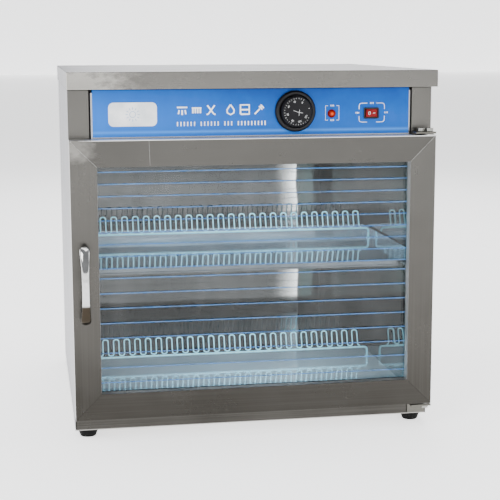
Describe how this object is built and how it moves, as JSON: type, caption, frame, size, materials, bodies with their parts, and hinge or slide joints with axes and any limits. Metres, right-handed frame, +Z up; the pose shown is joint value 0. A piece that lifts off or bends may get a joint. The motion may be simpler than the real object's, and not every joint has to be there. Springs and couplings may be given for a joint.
{
  "type": "uv sterilizer cabinet",
  "caption": "Stainless tabletop ultraviolet sterilizer cabinet with hinged glass door, bow handle, dial timer, rocker switch, polished chamber, shelf and wire racks, on rubber feet.",
  "frame": {"origin": "middle of the bounding box footprint, on the surface the feet stand on", "axes": "+X to the right seen from the door, +Y from the door to the back, +Z up"},
  "size_m": [0.5026, 0.53, 0.502],
  "materials": {
    "satin_steel": "satin, horizontal grain",
    "side_steel": "satin, vertical grain",
    "mirror_steel": "mirror polished",
    "bright_chrome": "polished",
    "coated_wire": "gloss coating",
    "zinc_plate": "zinc plated, dull",
    "blue_film": "printed film, satin",
    "white_film": "printed film, satin",
    "black_plastic": "moulded, fine grain",
    "knob_plastic": "semi gloss",
    "red_plastic": "gloss",
    "door_glass": "clear with printed stripes",
    "lamp_glass": "smooth",
    "black_rubber": "matt",
    "white_nylon": "moulded"
  },
  "bodies": {
    "cabinet": {"bottom_pan": "satin_steel", "top_lid": "satin_steel", "back_panel": "satin_steel", "control_panel": "satin_steel", "side_panel_left": "side_steel", "side_panel_right": "side_steel", "liner_left": "mirror_steel", "liner_right": "mirror_steel", "liner_back": "mirror_steel", "liner_ceiling": "mirror_steel", "chamber_floor": "mirror_steel", "middle_shelf": "mirror_steel", "shelf_rest_left": "mirror_steel", "shelf_rest_right": "mirror_steel", "timer_body": "zinc_plate", "hinge_plate_top": "zinc_plate", "hinge_plate_bottom": "zinc_plate", "hinge_pin_top": "zinc_plate", "hinge_pin_bottom": "zinc_plate", "hinge_stop_bolt": "zinc_plate", "ballast": "zinc_plate", "fascia_film": "blue_film", "badge_plate": "white_film", "timer_bezel": "black_plastic", "pilot_body": "black_plastic", "switch_body": "black_plastic", "magnet_catch": "black_plastic", "cable_gland": "black_plastic", "wiring_loom": "black_plastic", "pilot_lens": "red_plastic", "uv_lamp_upper": "lamp_glass", "uv_lamp_lower": "lamp_glass", "foot_front_left": "black_rubber", "foot_front_right": "black_rubber", "foot_rear_left": "black_rubber", "foot_rear_right": "black_rubber", "lamp_socket_upper_left": "white_nylon", "lamp_socket_upper_right": "white_nylon", "lamp_socket_lower_left": "white_nylon", "lamp_socket_lower_right": "white_nylon", "terminal_block": "white_nylon"},
    "door": {"door_stile_left": "satin_steel", "door_stile_right": "satin_steel", "door_rail_top": "satin_steel", "door_rail_bottom": "satin_steel", "door_glass": "door_glass", "glass_frame": "satin_steel", "door_seal": "black_rubber", "handle": "bright_chrome", "handle_screw_upper": "zinc_plate", "handle_screw_lower": "zinc_plate", "strike_plate": "zinc_plate", "hinge_bush_top": "white_nylon", "hinge_bush_bottom": "white_nylon"},
    "knob": {"timer_knob": "knob_plastic"},
    "rocker": {"switch_rocker": "red_plastic"},
    "upper_rack": {"upper_rack_rail": "coated_wire", "upper_rack_loops": "coated_wire"},
    "lower_rack": {"lower_rack_rail": "coated_wire", "lower_rack_loops": "coated_wire"}
  },
  "joints": [
    {"name": "door_swing", "type": "hinge", "parent": "cabinet", "child": "door", "pos_m": [0.2435, -0.225, 0.223], "axis": [0, 0, 1], "range_deg": [0, 110]},
    {"name": "timer_turn", "type": "hinge", "parent": "cabinet", "child": "knob", "pos_m": [0.057, -0.2106, 0.447], "axis": [0, -1, 0], "range_deg": [-240, 75]},
    {"name": "rocker_tilt", "type": "hinge", "parent": "cabinet", "child": "rocker", "pos_m": [0.164, -0.2088, 0.443], "axis": [0, 0, 1], "range_deg": [-14, 0]},
    {"name": "upper_rack_lift", "type": "slide", "parent": "cabinet", "child": "upper_rack", "axis": [0, 0, 1], "range_m": [0, 0.006]},
    {"name": "lower_rack_lift", "type": "slide", "parent": "cabinet", "child": "lower_rack", "axis": [0, 0, 1], "range_m": [0, 0.006]}
  ]
}
